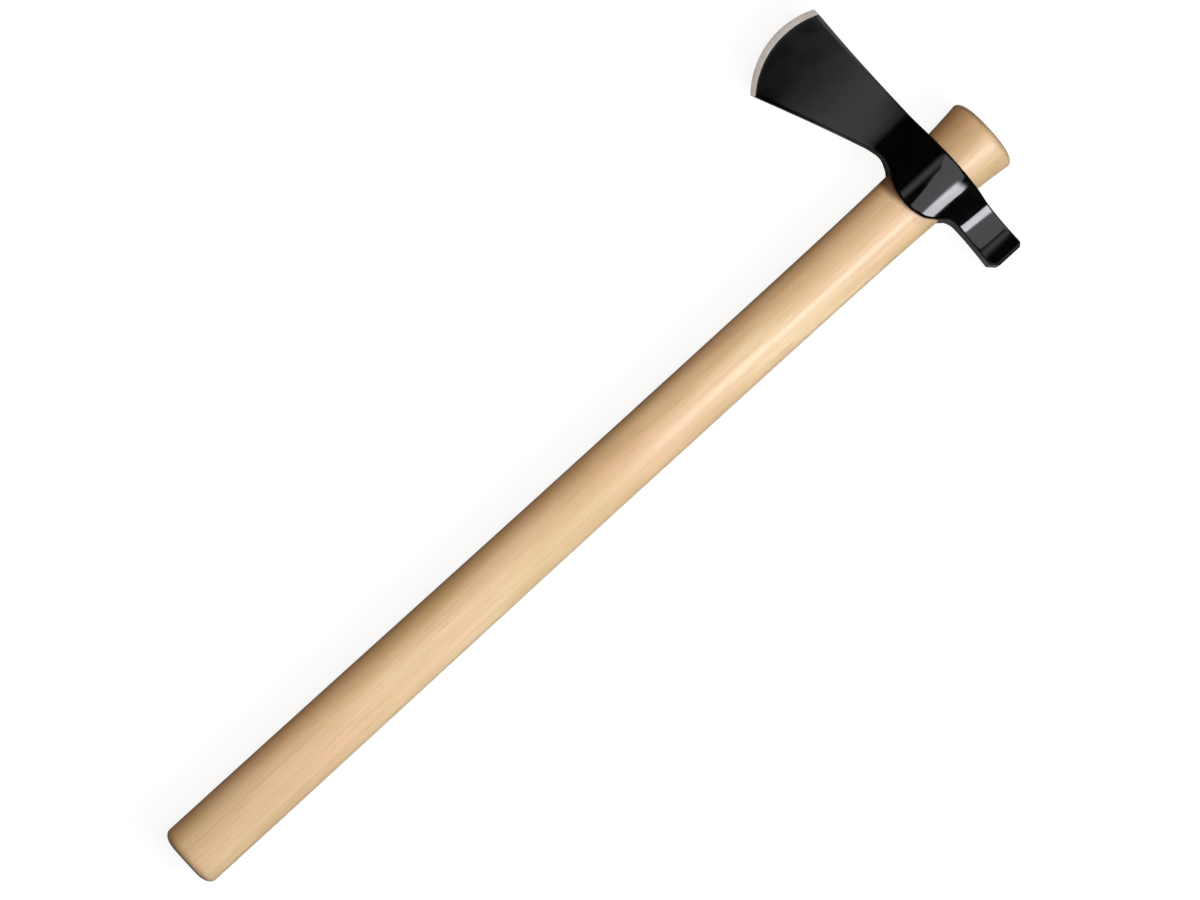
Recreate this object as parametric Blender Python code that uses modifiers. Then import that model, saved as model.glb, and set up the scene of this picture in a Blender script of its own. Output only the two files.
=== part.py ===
"""Belt hatchet of the tomahawk kind: a forged steel head with a hammer poll, on a hickory haft.

The head has a tapered oval eye. It is slipped over the thin end of the haft and wedges on the
haft's flare, and a hex socket set screw in the lower cheek locks it there. With the screw backed
out the head slides down the haft and off the butt.

Frame, in metres: the origin is the centre of the haft's butt face. +X runs up the haft to the
head, +Y runs out to the cutting edge, and +Z is the upper cheek's side, with the tool lying flat.
"""

import math

import bmesh
import bpy
from mathutils import Matrix

MM = 0.001

# Haft: an oval bar, widest along Y, with a slim waist, a slight swell at the butt and a flare.
HAFT_LENGTH = 558.0 * MM
HAFT_OVAL = 0.69                 # thickness along Z over width along Y
WAIST_HALF_WIDTH = 16.5 * MM
BUTT_SWELL = 0.9 * MM
BUTT_SWELL_LENGTH = 300.0 * MM
FLARE_RISE = 5.0 * MM            # how much the half width has grown at the top end
FLARE_LENGTH = 35.0 * MM         # the flare grows by a factor of e in this length
# The rims at its ends are rounded: (along the haft, across its width).
BUTT_ROUND = (5.0 * MM, 8.0 * MM)
TOP_ROUND = (4.5 * MM, 10.0 * MM)
HAFT_STEPS = 40                  # facets round the haft

# Head: its own outline is given in millimetres from the middle of the eye, X up the haft and
# Y out to the cutting edge. It is symmetric about Z = 0.
EYE_X = 515.5 * MM               # the middle of the eye, from the butt
EYE_GAP = 0.3 * MM               # between the eye and the haft, on the thin side of the oval
POLL_Y = -55.7
EDGE_CENTRE_X = -1.6
EDGE_CENTRE_Y = 62.7
EDGE_RADIUS = 47.9
EDGE_Y = EDGE_CENTRE_Y + EDGE_RADIUS
GRIND_WIDTH = 3.7                # width of the ground bevel behind the cutting edge
GRIND_HALF_THICKNESS = 1.35
EDGE_HALF_THICKNESS = 0.15
BOW_START_Y = 45.0               # from here the cross-sections bow to follow the cutting edge

# (Y, X) of the side facing the hand and of the side facing away from it.
HAND_SIDE = ((-55.7, -5.2), (-30.0, -4.0), (-25.0, -3.9), (-21.0, -5.0), (-17.0, -9.2),
             (-10.0, -15.0), (0.0, -17.1), (8.0, -16.0), (15.0, -13.2), (20.5, -9.7),
             (26.5, -8.1), (33.0, -9.5), (41.0, -12.6), (60.0, -20.6), (97.0, -37.0))
FAR_SIDE = ((-55.7, 14.8), (-30.0, 15.5), (-18.0, 16.6), (0.0, 17.0), (22.0, 16.9),
            (45.0, 17.0), (72.0, 17.2), (106.3, 18.2))
# (Y, half thickness): square poll, barrel-shaped eye, hollow neck and wedge-shaped blade.
HALF_THICKNESS = ((-55.7, 10.0), (-50.0, 8.8), (-47.0, 8.22), (-44.0, 7.88), (-41.0, 7.77),
                  (-38.0, 7.82), (-35.0, 7.98), (-33.0, 8.21), (-31.5, 8.46), (-30.0, 8.78),
                  (-27.8, 9.35), (-26.0, 9.97), (-20.0, 12.42), (-16.0, 13.95), (-14.2, 14.55),
                  (-11.0, 15.48), (-8.3, 16.07), (-5.0, 16.58), (-1.0, 16.8), (1.0, 16.77),
                  (4.0, 16.6), (7.0, 16.21), (10.0, 15.57), (14.0, 14.4), (20.0, 11.6),
                  (26.0, 8.2), (28.5, 6.98), (31.0, 6.2), (34.0, 5.66), (42.0, 4.66),
                  (55.0, 3.42), (66.0, 2.68), (78.0, 2.11), (90.0, 1.7),
                  (EDGE_Y - GRIND_WIDTH, GRIND_HALF_THICKNESS))
CORNER_ROUND = ((-55.7, 1.0), (-30.0, 0.9), (-16.0, 0.6), (0.0, 0.5), (26.0, 0.7), (50.0, 0.5),
                (111.0, 0.4))
# The striking face is smaller than the poll behind it: (how much, over what length).
HAND_SIDE_CHAMFER = (4.0, 3.8)
FAR_SIDE_CHAMFER = (1.8, 1.9)
CHEEK_CHAMFER = (1.0, 1.0)
# The eye's cheeks fall away towards its two rims: (how much, from which X, over what length).
HAND_CROWN = (0.9, 4.0, -21.0)
FAR_CROWN = (0.5, 8.5, 8.5)
CROWN_FADE_Y = (16.0, 30.0)      # the crown is gone from the second Y
BARREL_FADE_Y = (34.0, 50.0)     # and so is the barrel's taper, which follows the eye's
# Where the head's cross-sections stand, along Y.
STATIONS = (
    [POLL_Y + CHEEK_CHAMFER[1], POLL_Y + FAR_SIDE_CHAMFER[1], POLL_Y + HAND_SIDE_CHAMFER[1]]
    + [-48.5, -45.0, -41.0, -36.0, -33.0]
    + [-30.0 + 2.0 * i for i in range(34)]
    + [40.0, 45.0, 51.0, 58.0, 66.0, 75.0, 85.0, 96.0, EDGE_Y - GRIND_WIDTH]
)
CHEEK_POINTS = 8                 # cross-section points along each cheek
CORNER_POINTS = 3                # segments in each rounded corner

# Set screw, M5 by 0.8, in the lower cheek.
SCREW_RADIUS = 2.2 * MM          # at the thread's middle, which leaves a gap to the hole
SCREW_HOLE_RADIUS = 2.5 * MM
SCREW_TIP_Z = -12.8 * MM
SCREW_LENGTH = 3.7 * MM
SCREW_TIP_RADIUS = 1.35 * MM
SCREW_TIP_LENGTH = 0.8 * MM
SCREW_CUP_DEPTH = 0.5 * MM
SCREW_CHAMFER = 0.3 * MM
SOCKET_ACROSS_FLATS = 2.5 * MM
SOCKET_DEPTH = 1.9 * MM


def clear_scene():
    for obj in list(bpy.data.objects):
        bpy.data.objects.remove(obj, do_unlink=True)


def make_collection(name):
    collection = bpy.data.collections.new(name)
    bpy.context.scene.collection.children.link(collection)
    return collection


def make_material(name, colour, roughness, metallic):
    material = bpy.data.materials.new(name)
    material.use_nodes = True
    shader = material.node_tree.nodes["Principled BSDF"]
    shader.inputs["Base Color"].default_value = (*colour, 1.0)
    shader.inputs["Roughness"].default_value = roughness
    shader.inputs["Metallic"].default_value = metallic
    return material


def make_object(name, bm, collection, material=None):
    """Turn a bmesh into a named object of the collection."""
    mesh = bpy.data.meshes.new(name)
    bm.to_mesh(mesh)
    bm.free()
    obj = bpy.data.objects.new(name, mesh)
    collection.objects.link(obj)
    if material:
        mesh.materials.append(material)
    return obj


def hide_helper(obj):
    obj.hide_render = True
    obj.display_type = "WIRE"


def cut(obj, cutter):
    modifier = obj.modifiers.new(cutter.name, "BOOLEAN")
    modifier.operation = "DIFFERENCE"
    modifier.object = cutter


def smooth_through(points, at):
    """The value at a place on the smooth curve through (place, value) points, without overshoot."""
    places = [p[0] for p in points]
    values = [p[1] for p in points]
    if at <= places[0]:
        return values[0]
    if at >= places[-1]:
        return values[-1]
    spans = [b - a for a, b in zip(places, places[1:])]
    slopes = [(b - a) / span for a, b, span in zip(values, values[1:], spans)]
    tangents = [slopes[0]]
    for before, after in zip(slopes, slopes[1:]):
        same_way = before * after > 0
        tangents.append(2 * before * after / (before + after) if same_way else 0.0)
    tangents.append(slopes[-1])
    i = max(k for k in range(len(spans)) if places[k] <= at)
    t = (at - places[i]) / spans[i]
    rise = 3 * t * t - 2 * t * t * t
    return (
        values[i] + (values[i + 1] - values[i]) * rise
        + spans[i] * tangents[i] * t * (1 - t) ** 2
        - spans[i] * tangents[i + 1] * t * t * (1 - t)
    )


def haft_half_width(x):
    """Half the haft's width along Y at a distance from the butt, before its ends are rounded."""
    swell = max(0.0, 1.0 - x / BUTT_SWELL_LENGTH)
    eased = swell * swell * (3.0 - 2.0 * swell)
    flare = FLARE_RISE * math.exp((x - HAFT_LENGTH) / FLARE_LENGTH)
    return WAIST_HALF_WIDTH + BUTT_SWELL * eased + flare


def turned_oval(name, profile, collection, material=None):
    """Turn (distance along X, half width) points, listed from the top end down, into an oval bar."""
    bm = bmesh.new()
    points = [bm.verts.new((half_width, 0.0, x)) for x, half_width in profile]
    for first, second in zip(points, points[1:]):
        bm.edges.new((first, second))
    obj = make_object(name, bm, collection, material)
    screw = obj.modifiers.new("Turn", "SCREW")
    screw.axis = "Z"
    screw.steps = HAFT_STEPS
    screw.render_steps = HAFT_STEPS
    screw.use_merge_vertices = True
    screw.merge_threshold = 0.00001
    # The profile is turned about the object's Z axis, which this lays along +X.
    obj.scale = (HAFT_OVAL, 1.0, 1.0)
    obj.rotation_euler = (0.0, math.radians(90.0), 0.0)
    return obj


def haft_profile():
    """The haft's outline from the middle of the top end, down its side, to the butt's middle."""
    quarter = [math.radians(a) for a in range(0, 91, 18)]
    along, across = TOP_ROUND
    half_width = haft_half_width(HAFT_LENGTH - along)
    profile = [(HAFT_LENGTH, 0.0)]
    for a in quarter:
        x = HAFT_LENGTH - along * (1.0 - math.cos(a))
        profile.append((x, half_width - across * (1.0 - math.sin(a))))
    flared = [0.548 - 0.008 * i for i in range(12)]
    straight = [0.440 - 0.042 * i for i in range(11)]
    profile += [(x, haft_half_width(x)) for x in flared + straight]
    along, across = BUTT_ROUND
    half_width = haft_half_width(along)
    for a in reversed(quarter):
        x = along * (1.0 - math.cos(a))
        profile.append((x, half_width - across * (1.0 - math.sin(a))))
    profile.append((0.0, 0.0))
    return profile


def make_haft(collection, material):
    haft = turned_oval("haft", haft_profile(), collection, material)
    haft.data.shade_smooth()
    return haft


def eye_cutter(collection):
    """The tapered oval hole through the head, a little larger than the haft all round."""
    reach = 30.0 * MM
    steps = 15
    profile = [(EYE_X + reach, 0.0)]
    for i in range(steps + 1):
        x = EYE_X + reach - 2.0 * reach * i / steps
        profile.append((x, haft_half_width(x) + EYE_GAP / HAFT_OVAL))
    profile.append((EYE_X - reach, 0.0))
    cutter = turned_oval("eye_cutter", profile, collection)
    hide_helper(cutter)
    return cutter


def screw_hole_cutter(collection):
    """A round hole through the lower cheek only."""
    bm = bmesh.new()
    length = 12.0 * MM
    bmesh.ops.create_cone(
        bm, cap_ends=True, segments=24, depth=length,
        radius1=SCREW_HOLE_RADIUS, radius2=SCREW_HOLE_RADIUS,
        matrix=Matrix.Translation((EYE_X, 0.0, SCREW_TIP_Z - length / 2.0 + 4.0 * MM)),
    )
    cutter = make_object("screw_hole_cutter", bm, collection)
    hide_helper(cutter)
    return cutter


def chamfered(y, chamfer):
    """How far the poll's side is cut in at Y by its (cut, length) chamfer."""
    depth, length = chamfer
    return depth * min(1.0, max(0.0, 1.0 - (y - POLL_Y) / length))


def edge_sag(x):
    """How far the cutting edge has fallen back from its foremost point, at X."""
    return EDGE_RADIUS - math.sqrt(EDGE_RADIUS ** 2 - (x - EDGE_CENTRE_X) ** 2)


def ease(t):
    t = min(1.0, max(0.0, t))
    return t * t * (3.0 - 2.0 * t)


def faded(y, span):
    """1 near the middle of the eye, falling smoothly to 0 between two distances from it."""
    start, end = span
    return 1.0 - ease((abs(y) - start) / (end - start))


def cheek_height(x, y):
    """How high the upper cheek stands at a place, before the cutting edge is ground."""
    spread = haft_half_width(EYE_X + x * MM) / haft_half_width(EYE_X) - 1.0
    barrel_y = y / (1.0 + spread * faded(y, BARREL_FADE_Y))
    crown = 0.0
    for drop, start, length in (HAND_CROWN, FAR_CROWN):
        crown += drop * max(0.0, (x - start) / length) ** 2 * faded(y, CROWN_FADE_Y)
    return smooth_through(HALF_THICKNESS, barrel_y) - chamfered(y, CHEEK_CHAMFER) - crown


def half_section(station, closed=False):
    """The upper half of the head's cross-section at a station, as (X, Y, Z) in millimetres.

    It runs from the side facing the hand, over the upper cheek, to the far side. The sections
    bow along Y towards the cutting edge. A closed one lies in the plane Z = 0.
    """
    bow = ease((station - BOW_START_Y) / (EDGE_Y - BOW_START_Y))
    hand_x = smooth_through(HAND_SIDE, station)
    far_x = smooth_through(FAR_SIDE, station)
    for _ in range(20):
        hand_x = smooth_through(HAND_SIDE, station - bow * edge_sag(hand_x))
        far_x = smooth_through(FAR_SIDE, station - bow * edge_sag(far_x))
    hand_x += chamfered(station, HAND_SIDE_CHAMFER)
    far_x -= chamfered(station, FAR_SIDE_CHAMFER)
    ground = max(0.0, 1.0 - (EDGE_Y - station) / GRIND_WIDTH)
    corner = min(smooth_through(CORNER_ROUND, station), 0.8 * cheek_height(hand_x, station))
    corner += (0.8 * EDGE_HALF_THICKNESS - corner) * ground
    section = [(hand_x, 0.0)]
    turns = [math.radians(90.0 * i / CORNER_POINTS) for i in range(CORNER_POINTS + 1)]
    flat = far_x - hand_x - 2.0 * corner
    places = [(hand_x + corner * (1.0 - math.cos(a)), 1.0 - math.sin(a)) for a in turns]
    places += [(hand_x + corner + flat * i / CHEEK_POINTS, 0.0) for i in range(1, CHEEK_POINTS)]
    places += [(far_x - corner * (1.0 - math.cos(a)), 1.0 - math.sin(a)) for a in reversed(turns)]
    for x, rounded in places:
        height = cheek_height(x, station)
        height += (EDGE_HALF_THICKNESS - height) * ground
        section.append((x, height - corner * rounded))
    section.append((far_x, 0.0))
    return [(x, station - bow * edge_sag(x), 0.0 if closed else z) for x, z in section]


def make_head(collection, cutters, material):
    """Loft the upper half of the forging, mirror it, and cut the eye and the screw hole."""
    rows = [half_section(POLL_Y, closed=True), half_section(POLL_Y)]
    rows += [half_section(station) for station in STATIONS]
    rows += [half_section(EDGE_Y), half_section(EDGE_Y, closed=True)]
    bm = bmesh.new()
    placed = [
        [bm.verts.new((EYE_X + x * MM, y * MM, z * MM)) for x, y, z in row] for row in rows
    ]
    for row, following in zip(placed, placed[1:]):
        for i in range(len(row) - 1):
            bm.faces.new((row[i], row[i + 1], following[i + 1], following[i]))
    bmesh.ops.remove_doubles(bm, verts=bm.verts, dist=0.001 * MM)
    bmesh.ops.recalc_face_normals(bm, faces=bm.faces)
    head = make_object("head", bm, collection, material)
    mirror = head.modifiers.new("Other cheek", "MIRROR")
    mirror.use_axis = (False, False, True)
    mirror.merge_threshold = 0.00001
    cut(head, eye_cutter(cutters))
    cut(head, screw_hole_cutter(cutters))
    return head


def make_set_screw(collection, cutters, material):
    """A cup-point set screw with a hex socket in its outer end, which faces -Z."""
    outer_z = SCREW_TIP_Z - SCREW_LENGTH
    profile = (
        (0.0, SCREW_TIP_Z - SCREW_CUP_DEPTH),
        (SCREW_TIP_RADIUS, SCREW_TIP_Z),
        (SCREW_RADIUS, SCREW_TIP_Z - SCREW_TIP_LENGTH),
        (SCREW_RADIUS, outer_z + SCREW_CHAMFER),
        (SCREW_RADIUS - SCREW_CHAMFER, outer_z),
        (0.0, outer_z),
    )
    bm = bmesh.new()
    points = [bm.verts.new((radius, 0.0, z - outer_z)) for radius, z in profile]
    for first, second in zip(points, points[1:]):
        bm.edges.new((first, second))
    screw = make_object("set_screw", bm, collection, material)
    screw.location = (EYE_X, 0.0, outer_z)
    turn = screw.modifiers.new("Turn", "SCREW")
    turn.axis = "Z"
    turn.steps = 24
    turn.render_steps = 24
    turn.use_merge_vertices = True
    turn.merge_threshold = 0.00001

    bm = bmesh.new()
    across_corners = SOCKET_ACROSS_FLATS / math.cos(math.radians(30.0))
    clear = 1.0 * MM
    bmesh.ops.create_cone(
        bm, cap_ends=True, segments=6, depth=SOCKET_DEPTH + clear,
        radius1=across_corners / 2.0, radius2=across_corners / 2.0,
        matrix=Matrix.Translation((0.0, 0.0, (SOCKET_DEPTH - clear) / 2.0)),
    )
    socket = make_object("socket_cutter", bm, cutters)
    socket.location = screw.location
    hide_helper(socket)
    cut(screw, socket)
    return screw


def main():
    clear_scene()
    parts = make_collection("tomahawk")
    cutters = make_collection("cutters")
    hickory = make_material("varnished_hickory", (0.72, 0.52, 0.31), 0.35, 0.0)
    black = make_material("black_painted_steel", (0.015, 0.015, 0.017), 0.22, 0.0)
    oxide = make_material("black_oxide_steel", (0.03, 0.03, 0.032), 0.4, 0.8)
    make_haft(parts, hickory)
    make_head(parts, cutters, black)
    make_set_screw(parts, cutters, oxide)


main()
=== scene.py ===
import math

import bmesh
import bpy
from mathutils import Matrix, Vector


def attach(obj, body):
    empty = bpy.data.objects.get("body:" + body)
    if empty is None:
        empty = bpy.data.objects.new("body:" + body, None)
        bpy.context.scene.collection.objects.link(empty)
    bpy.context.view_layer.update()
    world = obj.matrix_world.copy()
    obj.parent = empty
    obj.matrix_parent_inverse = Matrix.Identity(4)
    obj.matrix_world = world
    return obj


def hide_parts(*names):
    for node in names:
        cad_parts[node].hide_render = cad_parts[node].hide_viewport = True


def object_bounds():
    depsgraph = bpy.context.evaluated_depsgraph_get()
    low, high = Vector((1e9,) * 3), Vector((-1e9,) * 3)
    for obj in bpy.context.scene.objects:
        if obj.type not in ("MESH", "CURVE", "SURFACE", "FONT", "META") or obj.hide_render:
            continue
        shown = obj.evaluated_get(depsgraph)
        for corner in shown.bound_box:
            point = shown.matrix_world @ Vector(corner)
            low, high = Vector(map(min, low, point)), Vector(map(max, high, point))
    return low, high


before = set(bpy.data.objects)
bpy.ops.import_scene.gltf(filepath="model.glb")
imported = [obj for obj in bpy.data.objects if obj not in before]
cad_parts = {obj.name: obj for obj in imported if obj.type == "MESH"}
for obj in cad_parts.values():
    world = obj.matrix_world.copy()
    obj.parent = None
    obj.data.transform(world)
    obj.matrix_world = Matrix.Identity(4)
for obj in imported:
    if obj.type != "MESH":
        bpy.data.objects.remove(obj)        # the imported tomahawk: haft, head and set screw
CAD_LOW, CAD_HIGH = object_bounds()

# The looks of a tomahawk with a hammer poll. The frame: +X runs up the haft from the butt to the
# head, +Y runs out to the cutting edge, and +Z is up. The outlines below repeat the CAD model's,
# in millimetres, and the meshes made from them are finer.
MM = 0.001
WELD_DISTANCE = 0.0005

# Haft: half width along Y, and the half thickness along Z as a share of it.
HAFT_LENGTH = 558.0
HAFT_OVAL = 0.69
WAIST_HALF_WIDTH = 16.5
BUTT_SWELL = 0.9
BUTT_SWELL_LENGTH = 300.0
FLARE_RISE = 5.0
FLARE_LENGTH = 35.0
BUTT_ROUND = (5.0, 8.0)          # (along the haft, across its width)
TOP_ROUND = (4.5, 10.0)
HAFT_AROUND = 144
HAFT_STEPS = 150
HAFT_END_STEPS = 12

# Head, from the middle of the eye: X up the haft, Y out to the cutting edge.
EYE_X = 515.5
EYE_GAP = 0.3
EYE_RIM_ROUND = 0.5
POLL_Y = -55.7
EDGE_CENTRE_X = -1.6
EDGE_CENTRE_Y = 62.7
EDGE_RADIUS = 47.9
EDGE_Y = EDGE_CENTRE_Y + EDGE_RADIUS
GRIND_WIDTH = 3.7
GRIND_HALF_THICKNESS = 1.35
EDGE_HALF_THICKNESS = 0.08
BOW_START_Y = 45.0
# (Y, X) of the side facing the hand and of the side facing away from it.
HAND_SIDE = ((-55.7, -5.2), (-30.0, -4.0), (-25.0, -3.9), (-21.0, -5.0), (-17.0, -9.2),
             (-10.0, -15.0), (0.0, -17.1), (8.0, -16.0), (15.0, -13.2), (20.5, -9.7),
             (26.5, -8.1), (33.0, -9.5), (41.0, -12.6), (60.0, -20.6), (97.0, -37.0))
FAR_SIDE = ((-55.7, 14.8), (-30.0, 15.5), (-18.0, 16.6), (0.0, 17.0), (22.0, 16.9),
            (45.0, 17.0), (72.0, 17.2), (106.3, 18.2))
# (Y, half thickness) and (Y, corner rounding).
HALF_THICKNESS = ((-55.7, 10.0), (-50.0, 8.8), (-47.0, 8.22), (-44.0, 7.88), (-41.0, 7.77),
                  (-38.0, 7.82), (-35.0, 7.98), (-33.0, 8.21), (-31.5, 8.46), (-30.0, 8.78),
                  (-27.8, 9.35), (-26.0, 9.97), (-20.0, 12.42), (-16.0, 13.95), (-14.2, 14.55),
                  (-11.0, 15.48), (-8.3, 16.07), (-5.0, 16.58), (-1.0, 16.8), (1.0, 16.77),
                  (4.0, 16.6), (7.0, 16.21), (10.0, 15.57), (14.0, 14.4), (20.0, 11.6),
                  (26.0, 8.2), (28.5, 6.98), (31.0, 6.2), (34.0, 5.66), (42.0, 4.66),
                  (55.0, 3.42), (66.0, 2.68), (78.0, 2.11), (90.0, 1.7),
                  (EDGE_Y - GRIND_WIDTH, GRIND_HALF_THICKNESS))
CORNER_ROUND = ((-55.7, 1.0), (-30.0, 0.9), (-16.0, 0.6), (0.0, 0.5), (26.0, 0.7), (50.0, 0.5),
                (111.0, 0.4))
# The striking face is smaller than the poll behind it: (how much, over what length).
HAND_SIDE_CHAMFER = (4.0, 3.8)
FAR_SIDE_CHAMFER = (1.8, 1.9)
CHEEK_CHAMFER = (1.0, 1.0)
# The eye's cheeks fall away towards its two rims: (how much, from which X, over what length).
HAND_CROWN = (0.9, 4.0, -21.0)
FAR_CROWN = (0.5, 8.5, 8.5)
CROWN_FADE_Y = (16.0, 30.0)      # the crown is gone from the second Y
BARREL_FADE_Y = (34.0, 50.0)     # and so is the barrel's taper, which follows the eye's
EYE_FADE_Y = 32.0                # out to here the rows of the mesh follow the eye's taper
SIDE_POINTS = 6
CORNER_POINTS = 6
CHEEK_POINTS = 28
BORE_POINTS = 34
RIM_STEPS = 6
EDGE_ANGLE = math.radians(32.0)  # sharper edges than this are rounded
EDGE_ROUND = 0.25

# Set screw, M5 by 0.8, in the lower cheek.
THREAD_PITCH = 0.8
THREAD_OUTER = 2.42
THREAD_INNER = 2.0
HOLE_OUTER = 2.62
HOLE_INNER = 2.44
SCREW_TIP_Z = -12.8
SCREW_LENGTH = 3.7
SOCKET_ACROSS_FLATS = 2.5
SOCKET_DEPTH = 1.9
SCREW_AROUND = 72
SCREW_STEPS = 60                 # rows of its thread
SCREW_END_CHAMFER = 0.35
SCREW_POINT_LENGTH = 0.85
# Its cup point: (radius, height above the tip), from the outside inwards.
SCREW_CUP = ((1.45, -0.12), (1.32, 0.0), (1.18, -0.05), (0.5, -0.42), (0.02, -0.5))

# The cutter of its threaded hole. At some other heights the cut leaves a doubled face.
HOLE_LOW_Z = -16.95
HOLE_HIGH_Z = -11.45
HOLE_MOUTH_Z = (-16.3, -17.4, -19.0)     # where the countersink starts, is widest, and ends
HOLE_MOUTH_WIDER = 0.75
HOLE_AROUND = 48
ROWS_PER_PITCH = 8

# Marks and painted shade on the haft, by the distance from its butt in metres.
HEAD_SHADE_START = 0.4965               # painted shade from the head starts here
HEAD_SHADE_END = 0.528
BUTT_GRAIN = (0.0002, 0.0016)    # the end grain fades over the rims
TOP_GRAIN = (0.5564, 0.5578)
END_GRAIN_TONE = (0.44, 0.265, 0.12)     # its colour there

# The wood's growth rings, in metres: the line they are round, how far they wander, how many.
RING_CENTRE_Y = 0.055
RING_CENTRE_Z = -0.047
RING_SWAY = 0.0055
RINGS_PER_METRE = 520.0

# Studio: the light of its walls and ceiling, by the sine of the height above the horizon.
WALL_TOP = 0.40
WALL_FULL = 0.12
DARK_LIGHT = 0.015
WALL_LIGHT = 0.45
FAR_WALL_SHARE = 0.15            # how bright the wall on the blade's side is beside the others
PANEL_LIGHT = (0.94, 0.935, 1.0)
WARM_LIGHT = (1.0, 0.83, 0.64)
COOL_LIGHT = (0.68, 0.83, 1.0)
FLOOR_RADIUS = 24000.0           # in millimetres, like the gap under the tool
FLOOR_GAP = 0.2

# Camera, in metres.
CAMERA_PLACE = (0.115, 0.012, 2.87)
CAMERA_AIM = (0.2983, 0.0126, 0.0)
CAMERA_LENS = 168.0
HAFT_SLOPE = math.radians(42.33)         # the haft's slope in the picture


# ---------------------------------------------------------------- outlines

def smooth_through(points, at):
    """The value at a place on the smooth curve through (place, value) points, without overshoot."""
    places = [p[0] for p in points]
    values = [p[1] for p in points]
    if at <= places[0]:
        return values[0]
    if at >= places[-1]:
        return values[-1]
    spans = [b - a for a, b in zip(places, places[1:])]
    slopes = [(b - a) / span for a, b, span in zip(values, values[1:], spans)]
    tangents = [slopes[0]]
    for before, after in zip(slopes, slopes[1:]):
        same_way = before * after > 0
        tangents.append(2 * before * after / (before + after) if same_way else 0.0)
    tangents.append(slopes[-1])
    i = max(k for k in range(len(spans)) if places[k] <= at)
    t = (at - places[i]) / spans[i]
    rise = 3 * t * t - 2 * t * t * t
    return (
        values[i] + (values[i + 1] - values[i]) * rise
        + spans[i] * tangents[i] * t * (1 - t) ** 2
        - spans[i] * tangents[i + 1] * t * t * (1 - t)
    )


def ease(t):
    """Rise from 0 to 1 as t does, with a soft start and end."""
    t = min(1.0, max(0.0, t))
    return t * t * (3.0 - 2.0 * t)


def haft_half_width(x):
    """Half the haft's width at a distance from the butt, before its ends are rounded."""
    flare = FLARE_RISE * math.exp((x - HAFT_LENGTH) / FLARE_LENGTH)
    return WAIST_HALF_WIDTH + BUTT_SWELL * ease(1.0 - x / BUTT_SWELL_LENGTH) + flare


def eye_half_width(x):
    """Half the eye's width at X from its middle."""
    return haft_half_width(EYE_X + x) + EYE_GAP / HAFT_OVAL


# ---------------------------------------------------------------- mesh helpers

def new_object(name, bm, materials):
    """Turn a bmesh in millimetres into a smooth-shaded object in metres."""
    bmesh.ops.scale(bm, vec=(MM, MM, MM), verts=bm.verts)
    mesh = bpy.data.meshes.new(name)
    bm.to_mesh(mesh)
    bm.free()
    mesh.shade_smooth()
    for material in materials:
        mesh.materials.append(material)
    obj = bpy.data.objects.new(name, mesh)
    bpy.context.scene.collection.objects.link(obj)
    return obj


def bridge(bm, row, following, closed=False, material=0):
    """Quads between two rows of vertices."""
    count = len(row) if closed else len(row) - 1
    for i in range(count):
        j = (i + 1) % len(row)
        corners = []
        for vert in (row[i], row[j], following[j], following[i]):
            if vert not in corners:
                corners.append(vert)
        if len(corners) > 2:
            bm.faces.new(corners).material_index = material


def ring_of(bm, radius, z, around):
    """A ring about Z whose radius is a number, or a function of the angle."""
    ring = []
    for i in range(around):
        a = 2.0 * math.pi * i / around
        r = radius(a) if callable(radius) else radius
        ring.append(bm.verts.new((r * math.cos(a), r * math.sin(a), z)))
    return ring


def settle(bm):
    """Weld vertices that meet, and turn every face outwards."""
    bmesh.ops.remove_doubles(bm, verts=bm.verts, dist=WELD_DISTANCE)
    bmesh.ops.recalc_face_normals(bm, faces=bm.faces)


def apply_modifiers(obj):
    """Replace an object's mesh by the one its modifiers make."""
    evaluated = obj.evaluated_get(bpy.context.evaluated_depsgraph_get())
    mesh = bpy.data.meshes.new_from_object(evaluated)
    old = obj.data
    obj.modifiers.clear()
    obj.data = mesh
    bpy.data.meshes.remove(old)
    mesh.name = obj.name


# ---------------------------------------------------------------- haft

def haft_stations():
    """(X, half width) down the haft, from the rim of its top face to the rim of its butt face."""
    stations = []
    for place, (along, across), inward in ((HAFT_LENGTH, TOP_ROUND, -1), (0.0, BUTT_ROUND, 1)):
        end = []
        half_width = haft_half_width(place + inward * along)
        for i in range(HAFT_END_STEPS + 1):
            a = math.radians(90.0 * i / HAFT_END_STEPS)
            x = place + inward * along * (1.0 - math.cos(a))
            end.append((x, half_width - across * (1.0 - math.sin(a))))
        stations.append(end)
    top, butt = stations
    first = HAFT_LENGTH - TOP_ROUND[0]
    last = BUTT_ROUND[0]
    middle = [first + (last - first) * i / HAFT_STEPS for i in range(1, HAFT_STEPS)]
    return top + [(x, haft_half_width(x)) for x in middle] + butt[::-1]


def make_haft(materials):
    """The haft: oval rings down its length, with a flat cap of end grain at each end."""
    bm = bmesh.new()
    rows = []
    for x, half_width in haft_stations():
        row = []
        for i in range(HAFT_AROUND):
            a = 2.0 * math.pi * i / HAFT_AROUND
            y = half_width * math.cos(a)
            z = half_width * HAFT_OVAL * math.sin(a)
            row.append(bm.verts.new((x, y, z)))
        rows.append(row)
    for row, following in zip(rows, rows[1:]):
        bridge(bm, row, following, closed=True)
    for row in (rows[0], rows[-1]):
        centre = bm.verts.new((row[0].co.x, 0.0, 0.0))
        for a, b in zip(row, row[1:] + row[:1]):
            bm.faces.new((a, b, centre)).material_index = 1
    settle(bm)
    return new_object("haft_wood", bm, materials)


# ---------------------------------------------------------------- head

def edge_sag(x):
    """How far the cutting edge has fallen back from its foremost point, at X."""
    return EDGE_RADIUS - math.sqrt(EDGE_RADIUS ** 2 - (x - EDGE_CENTRE_X) ** 2)


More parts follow.
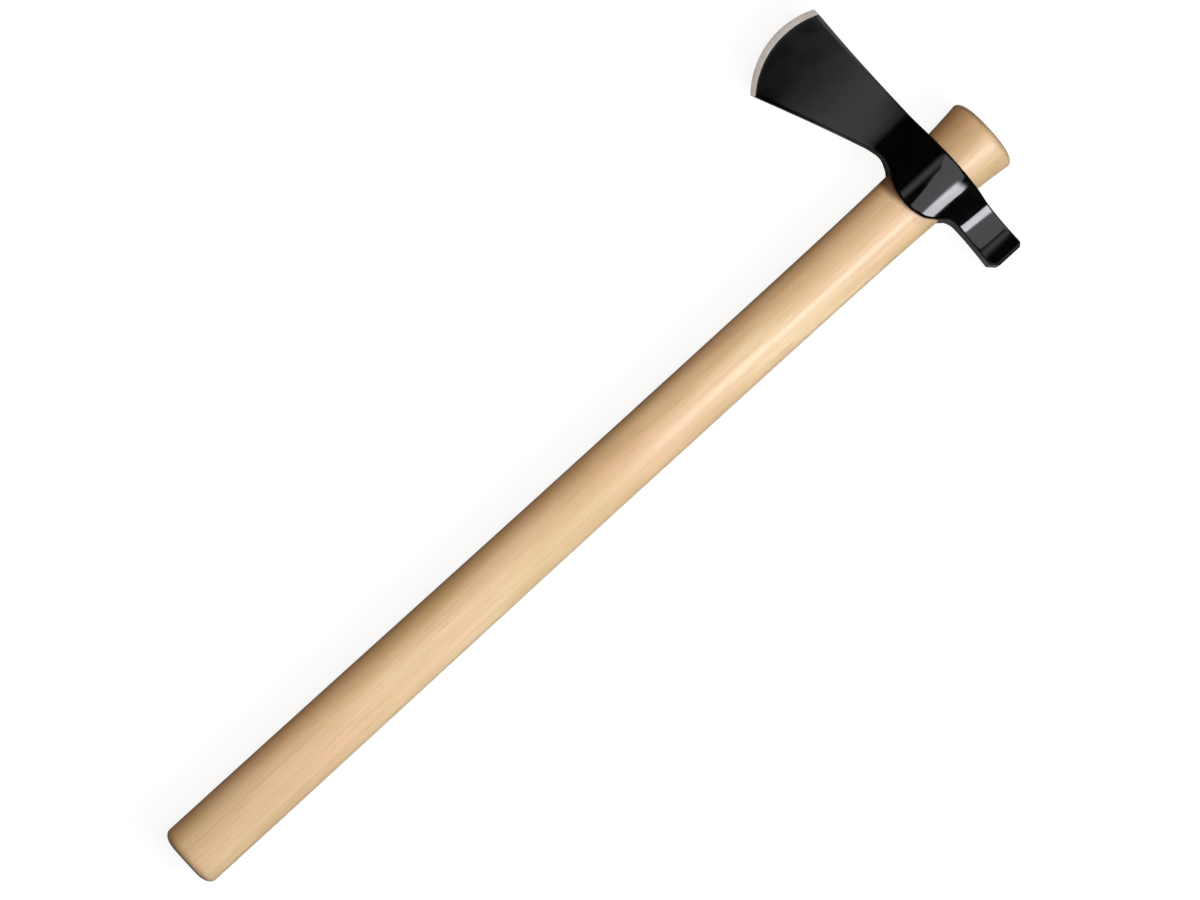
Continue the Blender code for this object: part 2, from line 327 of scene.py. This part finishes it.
def bow(station):
    """How far a row has taken on the cutting edge's bow, from 0 to 1."""
    return ease((station - BOW_START_Y) / (EDGE_Y - BOW_START_Y))


EYE_ROW = eye_half_width(0.0) + EYE_RIM_ROUND


def row_y(station, x):
    """Y at X on the row of a station: rows bow like the cutting edge, or spread like the eye."""
    spread = (eye_half_width(x) + EYE_RIM_ROUND) / EYE_ROW - 1.0
    fade = 1.0 - ease((abs(station) - EYE_ROW) / (EYE_FADE_Y - EYE_ROW))
    return station * (1.0 + spread * fade) - bow(station) * edge_sag(x)


def shape_place(station, x):
    """Where along the outlines a point of a row lies, with the bow taken out."""
    return row_y(station, x) + bow(station) * edge_sag(x)


def side_x(outline, station):
    """X at which a row meets a side's outline."""
    x = smooth_through(outline, station)
    for _ in range(20):
        x = smooth_through(outline, row_y(station, x))
    return x


def chamfered(y, chamfer):
    """How far the poll's side is cut in at Y by its (cut, length) chamfer."""
    depth, length = chamfer
    return depth * min(1.0, max(0.0, 1.0 - (y - POLL_Y) / length))


def faded(y, span):
    """1 near the middle of the eye, falling smoothly to 0 between two distances from it."""
    start, end = span
    return 1.0 - ease((abs(y) - start) / (end - start))


def half_thickness(station, x):
    """Half the head's thickness at X on the row of a station."""
    if station > EDGE_Y - GRIND_WIDTH:
        ground = (EDGE_Y - station) / GRIND_WIDTH
        return EDGE_HALF_THICKNESS + (GRIND_HALF_THICKNESS - EDGE_HALF_THICKNESS) * ground
    y = shape_place(station, x)
    barrel_y = y / (1.0 + (eye_half_width(x) / eye_half_width(0.0) - 1.0) * faded(y, BARREL_FADE_Y))
    crown = 0.0
    for drop, start, length in (HAND_CROWN, FAR_CROWN):
        crown += drop * max(0.0, (x - start) / length) ** 2 * faded(y, CROWN_FADE_Y)
    return smooth_through(HALF_THICKNESS, barrel_y) - chamfered(station, CHEEK_CHAMFER) - crown


def bore_height(station, x, rim_round):
    """Z of the eye's wall on the row of a station, or 0 beyond the eye."""
    share = station / EYE_ROW
    if abs(share) >= 1.0:
        return 0.0
    return HAFT_OVAL * (eye_half_width(x) + rim_round) * math.sqrt(1.0 - share * share)


def outer_points(station):
    """The outside of the upper half on the row of a station, from the hand side to the far side."""
    hand_x = side_x(HAND_SIDE, station) + chamfered(station, HAND_SIDE_CHAMFER)
    far_x = side_x(FAR_SIDE, station) - chamfered(station, FAR_SIDE_CHAMFER)
    hand_half = half_thickness(station, hand_x)
    far_half = half_thickness(station, far_x)
    round_wanted = smooth_through(CORNER_ROUND, station)
    hand_corner = min(round_wanted, 0.8 * hand_half)
    far_corner = min(round_wanted, 0.8 * far_half)
    points = []
    low = bore_height(station, hand_x, EYE_RIM_ROUND)
    for i in range(SIDE_POINTS):
        points.append((hand_x, low + (hand_half - hand_corner - low) * i / SIDE_POINTS))
    for i in range(CORNER_POINTS):
        a = math.radians(90.0 * i / CORNER_POINTS)
        x = hand_x + hand_corner * (1.0 - math.cos(a))
        points.append((x, hand_half - hand_corner * (1.0 - math.sin(a))))
    first = hand_x + hand_corner
    last = far_x - far_corner
    for i in range(CHEEK_POINTS + 1):
        x = first + (last - first) * i / CHEEK_POINTS
        points.append((x, half_thickness(station, x)))
    for i in range(1, CORNER_POINTS + 1):
        a = math.radians(90.0 - 90.0 * i / CORNER_POINTS)
        x = far_x - far_corner * (1.0 - math.cos(a))
        points.append((x, far_half - far_corner * (1.0 - math.sin(a))))
    low = bore_height(station, far_x, EYE_RIM_ROUND)
    for i in range(1, SIDE_POINTS + 1):
        high = far_half - far_corner
        points.append((far_x, high + (low - high) * i / SIDE_POINTS))
    return [(x, row_y(station, x), z) for x, z in points]


def bore_points(station):
    """The eye's wall on the row of a station, from the far rim to the hand rim, rims rounded."""
    hand_x = side_x(HAND_SIDE, station)
    far_x = side_x(FAR_SIDE, station)
    turns = [math.radians(90.0 * i / RIM_STEPS) for i in range(RIM_STEPS + 1)]
    steps = [(1.0 - math.cos(a), 1.0 - math.sin(a)) for a in turns]
    steps = [(EYE_RIM_ROUND * depth, EYE_RIM_ROUND * rim) for depth, rim in steps]
    places = [(far_x - depth, rim) for depth, rim in steps]
    first = far_x - EYE_RIM_ROUND
    last = hand_x + EYE_RIM_ROUND
    places += [(first + (last - first) * i / BORE_POINTS, 0.0) for i in range(1, BORE_POINTS)]
    places += [(hand_x + depth, rim) for depth, rim in reversed(steps)]
    points = []
    for x, rim in places:
        spread = (eye_half_width(x) + rim) / EYE_ROW
        points.append((x, station * spread, bore_height(station, x, rim)))
    return points


def head_stations():
    """Where the head's rows stand, along Y: closer together where the shape turns."""
    poll = [POLL_Y, POLL_Y + CHEEK_CHAMFER[1], POLL_Y + FAR_SIDE_CHAMFER[1],
            POLL_Y + HAND_SIDE_CHAMFER[1], -50.0, -47.5, -45.0, -42.5, -40.0]
    poll += [-38.0 + 0.75 * i for i in range(25)]
    eye = [EYE_ROW * math.sin(math.radians(-90.0 + 3.0 * i)) for i in range(61)]
    blade = [19.7 + 0.8 * i for i in range(38)]
    blade += [51.0 + 1.5 * i for i in range(36)]
    blade += [EDGE_Y - GRIND_WIDTH - 1.0, EDGE_Y - GRIND_WIDTH]
    blade += [EDGE_Y - GRIND_WIDTH * (1.0 - i / 5.0) for i in range(1, 6)]
    return poll, eye, blade


def add_head_half(bm, side):
    """Add the half of the forging above (side 1) or below (side -1) its middle plane."""
    poll, eye, blade = head_stations()
    stations = poll + eye + blade
    rows = []
    for station in stations:
        rows.append([bm.verts.new((x, y, side * z)) for x, y, z in outer_points(station)])
    for station, row, following in zip(stations, rows, rows[1:]):
        ground = station > EDGE_Y - GRIND_WIDTH - 0.01
        for i, (a, b, c, d) in enumerate(zip(row, row[1:], following[1:], following)):
            face = bm.faces.new((a, b, c, d))
            on_cheek = SIDE_POINTS + 1 < i < len(row) - SIDE_POINTS - 3
            face.material_index = 1 if ground and on_cheek else 0
    for row in (rows[0], rows[-1]):
        flat = [bm.verts.new((vert.co.x, vert.co.y, 0.0)) for vert in row]
        bridge(bm, row, flat)
    bores = []
    for station in eye:
        bores.append([bm.verts.new((x, y, side * z)) for x, y, z in bore_points(station)])
    for row, following in zip(bores, bores[1:]):
        bridge(bm, row, following)


def thread_radius(turn, z, inner, outer):
    """The radius of a screw thread at an angle, in turns, and a height: flat crests and roots."""
    phase = (z / THREAD_PITCH - turn) % 1.0
    ramp = abs(2.0 * phase - 1.0)
    return inner + (outer - inner) * min(1.0, max(0.0, 1.35 * ramp - 0.1))


def threaded_rod(bm, low, high, inner, outer):
    """Rings of a threaded rod about the Z axis, joined to each other but not capped."""
    count = max(2, round((high - low) / THREAD_PITCH * ROWS_PER_PITCH))
    rows = []
    for k in range(count + 1):
        z = low + (high - low) * k / count
        row = []
        for i in range(HOLE_AROUND):
            a = 2.0 * math.pi * i / HOLE_AROUND
            r = thread_radius(i / HOLE_AROUND, z, inner, outer)
            row.append(bm.verts.new((r * math.cos(a), r * math.sin(a), z)))
        rows.append(row)
    for row, following in zip(rows, rows[1:]):
        bridge(bm, row, following, closed=True)
    return rows


def make_hole_cutter():
    """The threaded hole through the lower cheek, countersunk at its mouth."""
    bm = bmesh.new()
    rows = threaded_rod(bm, HOLE_LOW_Z, HOLE_HIGH_Z, HOLE_INNER, HOLE_OUTER)
    wide = HOLE_OUTER + HOLE_MOUTH_WIDER
    mouth = [ring_of(bm, radius, z, HOLE_AROUND)
             for z, radius in zip(HOLE_MOUTH_Z, (HOLE_INNER, wide, wide))]
    for ring, following in zip(mouth, mouth[1:]):
        bridge(bm, ring, following, closed=True)
    for cap in (rows[0], rows[-1], mouth[0], mouth[-1]):
        bm.faces.new(cap)
    settle(bm)
    cutter = new_object("hole_cutter", bm, [])
    cutter.location.x = EYE_X * MM
    return cutter


def make_head(materials):
    """The forging: two halves welded at the middle plane, edges rounded, threaded hole cut."""
    bm = bmesh.new()
    add_head_half(bm, 1)
    add_head_half(bm, -1)
    settle(bm)
    bmesh.ops.translate(bm, vec=(EYE_X, 0.0, 0.0), verts=bm.verts)
    head = new_object("head_forging", bm, materials)
    rounding = head.modifiers.new("Edges", "BEVEL")
    rounding.limit_method = "ANGLE"
    rounding.angle_limit = EDGE_ANGLE
    rounding.width = EDGE_ROUND * MM
    rounding.segments = 2
    rounding.use_clamp_overlap = True
    apply_modifiers(head)
    cutter = make_hole_cutter()
    hole = head.modifiers.new("Hole", "BOOLEAN")
    hole.operation = "DIFFERENCE"
    hole.object = cutter
    hole.use_self = True
    apply_modifiers(head)
    bpy.data.objects.remove(cutter)
    head.data.shade_smooth()
    head.data.set_sharp_from_angle(angle=EDGE_ANGLE)
    return head


# ---------------------------------------------------------------- set screw

def hexagon(across_flats):
    """The radius of a hexagon at an angle."""
    def radius(a):
        off = (a + math.pi / 6.0) % (math.pi / 3.0) - math.pi / 6.0
        return across_flats / 2.0 / math.cos(off)
    return radius


def make_set_screw(materials):
    """A threaded grub screw with a cup point at its top and a hex socket in its lower end."""
    around = SCREW_AROUND
    outer_z = SCREW_TIP_Z - SCREW_LENGTH
    threaded = SCREW_LENGTH - SCREW_END_CHAMFER - SCREW_POINT_LENGTH
    bm = bmesh.new()
    rings = []
    for k in range(SCREW_STEPS + 1):
        z = outer_z + SCREW_END_CHAMFER + threaded * k / SCREW_STEPS
        row = []
        for i in range(around):
            a = 2.0 * math.pi * i / around
            r = thread_radius(i / around, z, THREAD_INNER, THREAD_OUTER)
            row.append(bm.verts.new((r * math.cos(a), r * math.sin(a), z)))
        rings.append(row)
    outer = [ring_of(bm, THREAD_INNER - 0.05, outer_z, around),
             ring_of(bm, THREAD_INNER + 0.02, outer_z + 0.08, around)]
    point = [ring_of(bm, radius, SCREW_TIP_Z + height, around) for radius, height in SCREW_CUP]
    mouth = SOCKET_ACROSS_FLATS / 2.0 / math.cos(math.pi / 6.0) + 0.12
    flats = hexagon(SOCKET_ACROSS_FLATS)
    socket = [ring_of(bm, 0.02, outer_z + SOCKET_DEPTH + 0.5, around),
              ring_of(bm, 1.05, outer_z + SOCKET_DEPTH + 0.1, around),
              ring_of(bm, hexagon(SOCKET_ACROSS_FLATS - 0.1), outer_z + SOCKET_DEPTH, around),
              ring_of(bm, flats, outer_z + SOCKET_DEPTH - 0.1, around),
              ring_of(bm, flats, outer_z + 0.25, around),
              ring_of(bm, mouth, outer_z + 0.03, around),
              ring_of(bm, mouth + 0.06, outer_z, around)]
    chain = socket + outer + rings + point
    for ring, following in zip(chain, chain[1:]):
        bridge(bm, ring, following, closed=True)
    bm.faces.new(chain[0])
    bm.faces.new(chain[-1])
    settle(bm)
    bmesh.ops.translate(bm, vec=(EYE_X, 0.0, 0.0), verts=bm.verts)
    screw = new_object("grub_screw", bm, materials)
    screw.data.set_sharp_from_angle(angle=math.radians(30.0))
    return screw


# ---------------------------------------------------------------- materials

class Graph:
    """A material's node tree, with short ways to add nodes and wires."""

    def __init__(self, name):
        self.material = bpy.data.materials.new(name)
        self.material.use_nodes = True
        self.tree = self.material.node_tree
        self.shader = self.tree.nodes["Principled BSDF"]
        self.place = self.add("ShaderNodeTexCoord").outputs["Object"]

    def add(self, kind, **settings):
        """Add a node with the given settings."""
        node = self.tree.nodes.new(kind)
        for name, value in settings.items():
            setattr(node, name, value)
        return node

    def feed(self, socket, value):
        """Wire a socket to another one, or set its value."""
        if isinstance(value, bpy.types.NodeSocket):
            self.tree.links.new(value, socket)
        else:
            socket.default_value = value

    def math(self, operation, *values):
        node = self.add("ShaderNodeMath", operation=operation)
        for socket, value in zip(node.inputs, values):
            self.feed(socket, value)
        return node.outputs[0]

    def stretched(self, scale, offset=(0.0, 0.0, 0.0)):
        """The place in the object, with a scale for each axis."""
        node = self.add("ShaderNodeMapping")
        self.feed(node.inputs["Vector"], self.place)
        node.inputs["Scale"].default_value = scale
        node.inputs["Location"].default_value = offset
        return node.outputs[0]

    def noise(self, vector, detail=2.0):
        """Noise from 0 to 1 with one feature to each unit of the vector."""
        node = self.add("ShaderNodeTexNoise")
        self.feed(node.inputs["Vector"], vector)
        node.inputs["Scale"].default_value = 1.0
        node.inputs["Detail"].default_value = detail
        node.inputs["Roughness"].default_value = 0.5
        node.inputs["Distortion"].default_value = 0.0
        return node.outputs["Fac"]

    def between(self, value, low, high, to_low=0.0, to_high=1.0):
        """Remap a value smoothly, held at its ends."""
        node = self.add("ShaderNodeMapRange", interpolation_type="SMOOTHSTEP")
        for socket, number in zip(node.inputs, (value, low, high, to_low, to_high)):
            self.feed(socket, number)
        return node.outputs["Result"]

    def mix(self, share, first, second):
        node = self.add("ShaderNodeMix", data_type="RGBA", blend_type="MIX")
        self.feed(node.inputs["Factor"], share)
        for socket, colour in ((node.inputs["A"], first), (node.inputs["B"], second)):
            self.feed(socket, colour if isinstance(colour, bpy.types.NodeSocket) else (*colour, 1.0))
        return node.outputs["Result"]

    def bump(self, height, distance, after=None):
        node = self.add("ShaderNodeBump")
        node.inputs["Distance"].default_value = distance
        node.inputs["Strength"].default_value = 1.0
        self.feed(node.inputs["Height"], height)
        if after:
            self.feed(node.inputs["Normal"], after)
        return node.outputs["Normal"]

    def set(self, **values):
        """Feed the shader's sockets, named with _ for each space."""
        for name, value in values.items():
            self.feed(self.shader.inputs[name.replace("_", " ")], value)


def growth_rings(g, axes):
    """Where a place lies between two growth rings, from 0 to 1.

    The rings are round a line beside the haft, so its faces show nearly straight grain.
    """
    sway = g.noise(g.stretched((7.0, 60.0, 60.0)), detail=2.0)
    across = g.math("ADD", axes.outputs["Y"], -RING_CENTRE_Y)
    down = g.math("ADD", axes.outputs["Z"], -RING_CENTRE_Z)
    radius = g.math("SQRT", g.math("ADD", g.math("MULTIPLY", across, across),
                                   g.math("MULTIPLY", down, down)))
    swayed = g.math("ADD", radius, g.math("MULTIPLY", sway, RING_SWAY))
    return g.math("FRACT", g.math("MULTIPLY", swayed, RINGS_PER_METRE))


def wood_material():
    """Varnished hickory: straight grain along X, with fine dark pores and pinkish streaks, and
    painted shade by the head, at the butt and on the flare.
    """
    g = Graph("varnished_hickory")
    axes = g.add("ShaderNodeSeparateXYZ")
    g.feed(axes.inputs[0], g.place)
    early = g.between(growth_rings(g, axes), 0.0, 0.35, 1.0, 0.0)
    tone = g.noise(g.stretched((9.0, 80.0, 80.0), (3.0, 0.0, 0.0)), detail=4.0)
    streak = g.noise(g.stretched((12.0, 420.0, 420.0), (0.0, 5.0, 2.0)), detail=3.0)
    blush = g.noise(g.stretched((11.0, 85.0, 85.0), (8.0, 2.0, 0.0)), detail=3.0)
    fibre = g.noise(g.stretched((55.0, 2600.0, 2600.0)), detail=2.0)
    pores = g.noise(g.stretched((110.0, 3400.0, 3400.0), (1.0, 2.0, 0.0)), detail=1.0)
    pore = g.math("MULTIPLY", g.between(pores, 0.60, 0.74), g.between(early, 0.1, 0.8, 0.35, 1.0))
    base = g.mix(g.between(tone, 0.35, 0.65), (0.66, 0.437, 0.212), (0.80, 0.57, 0.33))
    base = g.mix(g.between(blush, 0.42, 0.64, 0.0, 0.55), base, (0.78, 0.475, 0.29))
    base = g.mix(g.between(streak, 0.52, 0.72, 0.0, 0.45), base, (0.66, 0.38, 0.18))
    base = g.mix(g.math("MULTIPLY", early, 0.16), base, (0.50, 0.29, 0.12))
    base = g.mix(g.between(fibre, 0.3, 0.75, 0.0, 0.18), base, (0.90, 0.72, 0.48))
    base = g.mix(g.math("MULTIPLY", pore, 0.40), base, (0.24, 0.105, 0.04))
    # Painted shade: the wood is darkened at the head's rim, most on its +Y side, where the head
    # shades it.
    ragged = g.math("ADD", axes.outputs["X"], g.math("MULTIPLY", tone, 0.004))
    head_shade = g.math("MULTIPLY", g.between(ragged, HEAD_SHADE_START, HEAD_SHADE_START + 0.004),
                    g.between(axes.outputs["X"], HEAD_SHADE_END, HEAD_SHADE_END + 0.003, 1.0, 0.0))
    head_shade = g.math("MULTIPLY", head_shade, g.between(axes.outputs["Y"], -0.006, 0.013, 0.12, 0.8))
    base = g.mix(head_shade, base, (0.13, 0.035, 0.015))
    # Painted shade: browner towards the butt, where the light falls off, and on the flare, most on
    # its +Y side.
    falloff_shade = g.math("MULTIPLY", g.between(axes.outputs["Y"], -0.010, 0.022, 0.17, 0.48),
                   g.between(axes.outputs["X"], 0.50, 0.53))
    falloff_shade = g.math("ADD", falloff_shade, g.between(axes.outputs["X"], 0.0, 0.11, 0.20, 0.0))
    base = g.mix(falloff_shade, base, (0.33, 0.16, 0.055))
    ends = g.math("ADD", g.between(axes.outputs["X"], *BUTT_GRAIN, 1.0, 0.0),
                  g.between(axes.outputs["X"], *TOP_GRAIN))
    base = g.mix(ends, base, END_GRAIN_TONE)
    relief = g.math("ADD", g.math("MULTIPLY", fibre, 0.5), g.math("MULTIPLY", pore, -0.8))
    g.set(Base_Color=base, Roughness=g.between(fibre, 0.2, 0.8, 0.45, 0.55),
          Normal=g.bump(relief, 0.00003), Coat_Weight=0.28, Coat_Roughness=0.17)
    return g.material


def end_grain_material():
    """The haft's ends: darker, with the growth rings seen from the end."""
    g = Graph("hickory_end_grain")
    axes = g.add("ShaderNodeSeparateXYZ")
    g.feed(axes.inputs[0], g.place)
    early = g.between(growth_rings(g, axes), 0.0, 0.4, 1.0, 0.0)
    speck = g.noise(g.stretched((900.0, 3800.0, 3800.0)), detail=2.0)
    tone = g.noise(g.stretched((40.0, 120.0, 120.0)), detail=2.0)
    base = g.mix(tone, (0.40, 0.235, 0.105), (0.56, 0.36, 0.18))
    base = g.mix(g.math("MULTIPLY", early, 0.45), base, (0.24, 0.12, 0.05))
    base = g.mix(g.between(speck, 0.58, 0.70, 0.0, 0.6), base, (0.11, 0.05, 0.02))
    g.set(Base_Color=base, Roughness=0.5, Normal=g.bump(speck, 0.00004),
          Coat_Weight=0.35, Coat_Roughness=0.3)
    return g.material


def paint_material():
    """Glossy black paint over a forging: slight orange peel and slow waviness."""
    g = Graph("black_paint")
    peel = g.noise(g.stretched((420.0, 420.0, 420.0)), detail=2.0)
    wave = g.noise(g.stretched((55.0, 55.0, 55.0)), detail=1.0)
    smudge = g.noise(g.stretched((90.0, 90.0, 90.0), (4.0, 1.0, 0.0)), detail=4.0)
    base = g.mix(g.between(smudge, 0.3, 0.7), (0.0008, 0.0008, 0.0010), (0.0020, 0.0020, 0.0022))
    waved = g.bump(wave, 0.00002)
    g.set(Base_Color=base, Roughness=g.between(smudge, 0.3, 0.75, 0.05, 0.09),
          Normal=g.bump(peel, 0.000005, after=waved))
    return g.material


def ground_steel_material():
    """The bare ground bevel: satin steel with fine scratches towards the edge."""
    g = Graph("ground_steel")
    scratch = g.noise(g.stretched((5200.0, 260.0, 900.0)), detail=2.0)
    cloud = g.noise(g.stretched((160.0, 160.0, 160.0)), detail=3.0)
    base = g.mix(g.between(cloud, 0.3, 0.7), (0.695, 0.65, 0.62), (0.795, 0.755, 0.73))
    g.set(Base_Color=base, Metallic=0.35, Roughness=g.between(scratch, 0.3, 0.7, 0.45, 0.6),
          Normal=g.bump(scratch, 0.000012))
    return g.material


def oxide_material():
    """Black oxide on the set screw, worn brighter in patches."""
    g = Graph("black_oxide")
    cloud = g.noise(g.stretched((1400.0, 1400.0, 1400.0)), detail=3.0)
    base = g.mix(g.between(cloud, 0.35, 0.75), (0.035, 0.036, 0.04), (0.09, 0.09, 0.095))
    g.set(Base_Color=base, Metallic=0.9, Roughness=g.between(cloud, 0.2, 0.8, 0.3, 0.5),
          Normal=g.bump(cloud, 0.00001))
    return g.material


def floor_material():
    """A pale sheet that looks evenly lit, and throws less light back up than it shows."""
    g = Graph("pale_floor")
    cloud = g.noise(g.stretched((2.0, 2.0, 2.0)), detail=2.0)
    g.set(Base_Color=g.mix(cloud, (0.13, 0.13, 0.13), (0.14, 0.14, 0.14)), Roughness=0.9,
          Specular_IOR_Level=0.0, Emission_Color=(1.0, 1.0, 1.0, 1.0), Emission_Strength=0.9)
    dim = g.add("ShaderNodeBsdfDiffuse")
    dim.inputs["Color"].default_value = (0.14, 0.14, 0.14, 1.0)
    rays = g.add("ShaderNodeLightPath")
    choose = g.add("ShaderNodeMixShader")
    g.feed(choose.inputs[0], rays.outputs["Is Camera Ray"])
    g.feed(choose.inputs[1], dim.outputs[0])
    g.feed(choose.inputs[2], g.shader.outputs[0])
    g.feed(g.tree.nodes["Material Output"].inputs["Surface"], choose.outputs[0])
    return g.material


# ---------------------------------------------------------------- stage

def make_floor():
    """A wide floor just under the tool."""
    bm = bmesh.new()
    bmesh.ops.create_circle(bm, cap_ends=True, segments=96, radius=FLOOR_RADIUS)
    bmesh.ops.translate(bm, vec=(0.0, 0.0, CAD_LOW.z / MM - FLOOR_GAP), verts=bm.verts)
    floor = new_object("floor", bm, [floor_material()])


def make_world():
    """A dark studio with a pale low wall, dimmer on the blade's side, and a pale backdrop."""
    world = bpy.data.worlds.new("studio")
    bpy.context.scene.world = world
    world.use_nodes = True
    tree = world.node_tree
    link = tree.links.new
    shown = tree.nodes.new("ShaderNodeBackground")
    shown.inputs["Color"].default_value = (0.93, 0.93, 0.93, 1.0)
    axes = tree.nodes.new("ShaderNodeSeparateXYZ")
    link(tree.nodes.new("ShaderNodeTexCoord").outputs["Generated"], axes.inputs[0])
    wall = tree.nodes.new("ShaderNodeMapRange")
    for socket, value in zip(wall.inputs[1:], (WALL_TOP, WALL_FULL, DARK_LIGHT, WALL_LIGHT)):
        socket.default_value = value
    link(axes.outputs["Z"], wall.inputs["Value"])
    side = tree.nodes.new("ShaderNodeMapRange")
    for socket, value in zip(side.inputs[1:], (-0.4, 0.9, 1.0, FAR_WALL_SHARE)):
        socket.default_value = value
    link(axes.outputs["Y"], side.inputs["Value"])
    strength = tree.nodes.new("ShaderNodeMath")
    strength.operation = "MULTIPLY"
    link(wall.outputs["Result"], strength.inputs[0])
    link(side.outputs["Result"], strength.inputs[1])
    lit = tree.nodes["Background"]
    lit.inputs["Color"].default_value = (1.0, 1.0, 1.0, 1.0)
    link(strength.outputs[0], lit.inputs["Strength"])
    rays = tree.nodes.new("ShaderNodeLightPath")
    choose = tree.nodes.new("ShaderNodeMixShader")
    link(rays.outputs["Is Camera Ray"], choose.inputs[0])
    link(lit.outputs[0], choose.inputs[1])
    link(shown.outputs[0], choose.inputs[2])
    link(choose.outputs[0], tree.nodes["World Output"].inputs["Surface"])


def soften(light, edges):
    """Let a panel's light fade at its -X, +X, -Y and +Y edges, over shares of its size."""
    light.use_nodes = True
    tree = light.node_tree
    axes = tree.nodes.new("ShaderNodeSeparateXYZ")
    tree.links.new(tree.nodes.new("ShaderNodeNewGeometry").outputs["Parametric"], axes.inputs[0])
    strength = None
    for axis, place, share in zip("XXYY", (0.0, 1.0, 0.0, 1.0), edges):
        ramp = tree.nodes.new("ShaderNodeMapRange")
        ramp.interpolation_type = "SMOOTHSTEP"
        ramp.inputs["From Min"].default_value = place
        ramp.inputs["From Max"].default_value = abs(place - share)
        tree.links.new(axes.outputs[axis], ramp.inputs["Value"])
        product = tree.nodes.new("ShaderNodeMath")
        product.operation = "MULTIPLY"
        tree.links.new(ramp.outputs["Result"], product.inputs[0])
        product.inputs[1].default_value = 1.0
        if strength is not None:
            tree.links.new(strength, product.inputs[1])
        strength = product.outputs[0]
    tree.links.new(strength, tree.nodes["Emission"].inputs["Strength"])


def make_panel(name, place, target, size, radiance, roll=0.0, colour=(1.0, 1.0, 1.0), edges=None,
               diffuse=True, glossy=True):
    """A soft light panel of a given radiance, facing a target.

    Its X axis lies along the haft, or across it when the panel is off one of the haft's ends.
    """
    light = bpy.data.lights.new(name, "AREA")
    light.shape = "RECTANGLE"
    light.size, light.size_y = size
    light.energy = radiance * math.pi * size[0] * size[1]
    light.color = colour
    if edges:
        soften(light, edges)
    panel = bpy.data.objects.new(name, light)
    bpy.context.scene.collection.objects.link(panel)
    away = (Vector(place) - Vector(target)).normalized()
    across = Vector((0.0, 1.0, 0.0)) if abs(away.x) > 0.7 else Vector((1.0, 0.0, 0.0))
    across = (across - across.dot(away) * away).normalized()
    along = away.cross(across)
    turn = Matrix.Rotation(math.radians(roll), 3, "Z")
    facing = Matrix((across, along, away)).transposed() @ turn
    panel.matrix_world = Matrix.Translation(place) @ facing.to_4x4()
    panel.visible_camera = False
    panel.visible_diffuse = diffuse
    panel.visible_glossy = glossy
    return panel


def make_lights():
    """Panels that only the gloss shows, and others that only light the surfaces."""
    middle = (0.3, 0.0, 0.0)
    make_panel("softbox", (0.6875, -0.879, 1.61), (0.6375, 0.0, 0.0), (0.575, 0.46), 14.5, roll=10.0,
               colour=PANEL_LIGHT, edges=(0.17, 0.37, 0.03, 0.31), diffuse=False)
    make_panel("mid_card", (1.40, -0.519, 3.3), (1.40, -0.519, 0.0), (2.7, 1.75), 1.75, roll=39.5,
               colour=PANEL_LIGHT, edges=(0.05, 0.05, 0.01, 0.05), diffuse=False)
    make_panel("far_card", (1.0, 0.737, 3.3), (1.0, 0.737, 0.0), (2.2, 1.0), 1.1, roll=-8.0,
               colour=PANEL_LIGHT, edges=(0.05, 0.05, 0.39, 0.56), diffuse=False)
    make_panel("butt_card", (-1.7, -0.1, 1.25), middle, (2.6, 1.3), 1.0, colour=PANEL_LIGHT,
               edges=(0.2, 0.2, 0.3, 0.3), diffuse=False)
    make_panel("top_card", (2.9, 0.1, 1.25), middle, (2.6, 1.3), 1.0, colour=PANEL_LIGHT,
               edges=(0.2, 0.2, 0.3, 0.3), diffuse=False)
    make_panel("top_fill", (0.5, -0.35, 2.2), middle, (1.6, 1.2), 5.1, colour=WARM_LIGHT,
               glossy=False)
    make_panel("side_fill", (0.6, -1.3, 1.3), middle, (1.0, 0.8), 13.0, colour=COOL_LIGHT,
               glossy=False)
    make_panel("far_fill", (0.4, 1.6, 0.9), middle, (1.4, 0.8), 0.8, colour=WARM_LIGHT,
               glossy=False)


def make_camera():
    """Look almost straight down at the flat tool from over its grip, with the haft rising."""
    place = Vector(CAMERA_PLACE)
    aim = Vector(CAMERA_AIM)
    forward = (aim - place).normalized()
    haft = Vector((1.0, 0.0, 0.0))
    haft = (haft - haft.dot(forward) * forward).normalized()
    over = forward.cross(haft) * -1.0
    right = math.cos(HAFT_SLOPE) * haft - math.sin(HAFT_SLOPE) * over
    up = math.sin(HAFT_SLOPE) * haft + math.cos(HAFT_SLOPE) * over
    data = bpy.data.cameras.new("camera")
    data.lens = CAMERA_LENS
    data.sensor_width = 36.0
    data.clip_end = 60.0
    camera = bpy.data.objects.new("camera", data)
    bpy.context.scene.collection.objects.link(camera)
    camera.matrix_world = (
        Matrix.Translation(place) @ Matrix((right, up, -forward)).transposed().to_4x4()
    )
    bpy.context.scene.camera = camera


def main():
    bpy.context.scene.view_settings.view_transform = "Standard"
    make_camera()
    make_floor()
    make_world()
    make_lights()
    wood = wood_material()
    end_grain = end_grain_material()
    paint = paint_material()
    steel = ground_steel_material()
    oxide = oxide_material()

    haft = make_haft([wood, end_grain])
    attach(haft, "haft")
    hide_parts("haft")

    head = make_head([paint, steel])
    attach(head, "head")
    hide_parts("head")

    screw = make_set_screw([oxide])
    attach(screw, "set_screw")
    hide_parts("set_screw")


main()
